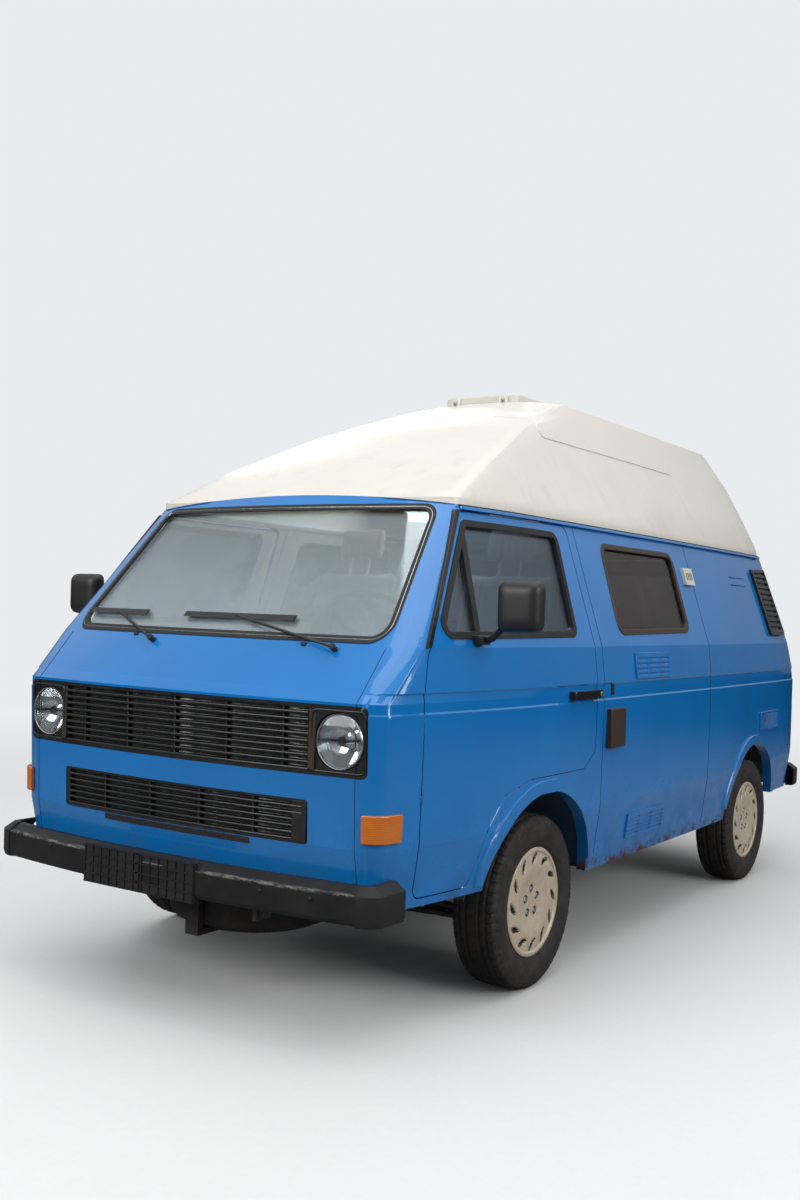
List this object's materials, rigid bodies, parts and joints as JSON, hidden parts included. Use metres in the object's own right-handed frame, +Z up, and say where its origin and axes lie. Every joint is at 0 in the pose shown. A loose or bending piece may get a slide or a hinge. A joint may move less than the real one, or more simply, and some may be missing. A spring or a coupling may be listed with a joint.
{
  "type": "camper van with a fibreglass high roof",
  "caption": "Boxy rear-engined camper van: hollow steel body, fibreglass high roof with a vent hatch, hinged cab doors and tailgate, steered front wheels and a plain camping interior.",
  "frame": {"origin": "on the ground under the middle of the van's overall box", "axes": "X to the van's left, Y to its rear, Z up"},
  "size_m": [2.236, 4.5739, 2.4122],
  "materials": {
    "alloy": "as cast",
    "amber_lens": "moulded lens",
    "black_metal": "matte chassis black",
    "black_plastic": "satin, weathered",
    "black_rubber": "matte",
    "body_paint": "glossy azure blue enamel with chips and rust at the sills",
    "bumper_paint": "satin black, worn bright along its upper edge",
    "cast_iron": "as cast, dusty",
    "cupboard": "laminated board",
    "exhaust_steel": "dull, rust tinted",
    "glass": "clear, slightly tinted, dusty",
    "lamp_lens": "fluted clear lens",
    "red_lens": "moulded lens",
    "seat_cloth": "woven cloth",
    "tyre": "black rubber",
    "underbody": "body colour under wax and road dust",
    "wheel_trim": "cream enamel, dusty",
    "white_fibreglass": "gelcoat, chalked and lightly stained",
    "white_plastic": "weathered"
  },
  "bodies": {
    "root": {"dashboard": "black_plastic", "drip_rails": "body_paint", "engine_block": "cast_iron", "exhaust": "exhaust_steel", "floor_pan": "underbody", "front_bumper": "bumper_paint", "front_indicators": "amber_lens", "front_seats": "seat_cloth", "front_suspension": "black_metal", "fuel_tank": "black_metal", "gearbox": "alloy", "headlamps": "lamp_lens", "high_roof": "white_fibreglass", "kitchen_unit": "cupboard", "left_side_panel": "body_paint", "lower_grille": "black_plastic", "nose_panel": "body_paint", "rear_bench": "seat_cloth", "rear_bumper": "bumper_paint", "rear_panel": "body_paint", "rear_suspension": "black_metal", "right_side_panel": "body_paint", "side_louvres": "body_paint", "side_vents": "black_plastic", "side_windows": "glass", "slide_rail": "body_paint", "sliding_door": "body_paint", "spare_wheel": "tyre", "steering_rack": "black_metal", "tail_lamps": "red_lens", "towing_eyes": "black_metal", "upper_grille": "black_plastic", "wardrobe": "cupboard", "window_rubbers": "black_rubber", "windscreen": "glass", "windscreen_frame": "body_paint", "wipers": "black_metal"},
    "left_door": {"left_door": "body_paint", "left_door_glass": "glass", "left_door_fittings": "black_plastic"},
    "right_door": {"right_door": "body_paint", "right_door_glass": "glass", "right_door_fittings": "black_plastic"},
    "tailgate": {"tailgate": "body_paint", "tailgate_glass": "glass", "tailgate_fittings": "black_plastic"},
    "roof_hatch": {"roof_hatch": "white_plastic"},
    "steering_wheel": {"steering_wheel": "black_plastic"},
    "tie_rods": {"tie_rods": "black_metal"},
    "left_knuckle": {"left_knuckle": "cast_iron"},
    "right_knuckle": {"right_knuckle": "cast_iron"},
    "wheel_front_left": {"tyre_front_left": "tyre", "wheel_front_left": "wheel_trim"},
    "wheel_front_right": {"tyre_front_right": "tyre", "wheel_front_right": "wheel_trim"},
    "wheel_rear_left": {"tyre_rear_left": "tyre", "wheel_rear_left": "wheel_trim"},
    "wheel_rear_right": {"tyre_rear_right": "tyre", "wheel_rear_right": "wheel_trim"}
  },
  "joints": [
    {"name": "left_steer", "type": "hinge", "parent": "root", "child": "left_knuckle", "pos_m": [0.712, -1.195, 0.32], "axis": [0, 0, 1], "range_deg": [-36, 36]},
    {"name": "right_steer", "type": "hinge", "parent": "root", "child": "right_knuckle", "pos_m": [-0.712, -1.195, 0.32], "axis": [0, 0, 1], "range_deg": [-36, 36]},
    {"name": "rack_slide", "type": "slide", "parent": "root", "child": "tie_rods", "axis": [1, 0, 0], "range_m": [-0.075, 0.075]},
    {"name": "steering_turn", "type": "hinge", "parent": "root", "child": "steering_wheel", "pos_m": [0.395, -1.525, 1.33], "axis": [0, 0.5299, 0.848], "range_deg": [-705, 705]},
    {"name": "left_door_hinge", "type": "hinge", "parent": "root", "child": "left_door", "pos_m": [0.852, -1.9545, 0.8], "axis": [0, 0, 1], "range_deg": [-68, 0]},
    {"name": "right_door_hinge", "type": "hinge", "parent": "root", "child": "right_door", "pos_m": [-0.852, -1.9545, 0.8], "axis": [0, 0, 1], "range_deg": [0, 68]},
    {"name": "tailgate_hinge", "type": "hinge", "parent": "root", "child": "tailgate", "pos_m": [0, 1.954, 1.7355], "axis": [1, 0, 0], "range_deg": [0, 85]},
    {"name": "roof_hatch_hinge", "type": "hinge", "parent": "root", "child": "roof_hatch", "pos_m": [0, -0.217, 2.392], "axis": [1, 0, 0], "range_deg": [0, 50]},
    {"name": "front_left_roll", "type": "hinge", "parent": "left_knuckle", "child": "wheel_front_left", "pos_m": [0.7925, -1.195, 0.32], "axis": [1, 0, 0], "continuous": true},
    {"name": "front_right_roll", "type": "hinge", "parent": "right_knuckle", "child": "wheel_front_right", "pos_m": [-0.7925, -1.195, 0.32], "axis": [1, 0, 0], "continuous": true},
    {"name": "rear_left_roll", "type": "hinge", "parent": "root", "child": "wheel_rear_left", "pos_m": [0.785, 1.266, 0.32], "axis": [1, 0, 0], "continuous": true},
    {"name": "rear_right_roll", "type": "hinge", "parent": "root", "child": "wheel_rear_right", "pos_m": [-0.785, 1.266, 0.32], "axis": [1, 0, 0], "continuous": true}
  ],
  "couplings": [
    {"joint": "right_steer", "follows": "left_steer", "ratio": 1},
    {"joint": "rack_slide", "follows": "left_steer", "m_per_rad": 0.115},
    {"joint": "steering_turn", "follows": "left_steer", "ratio": 19.5}
  ]
}
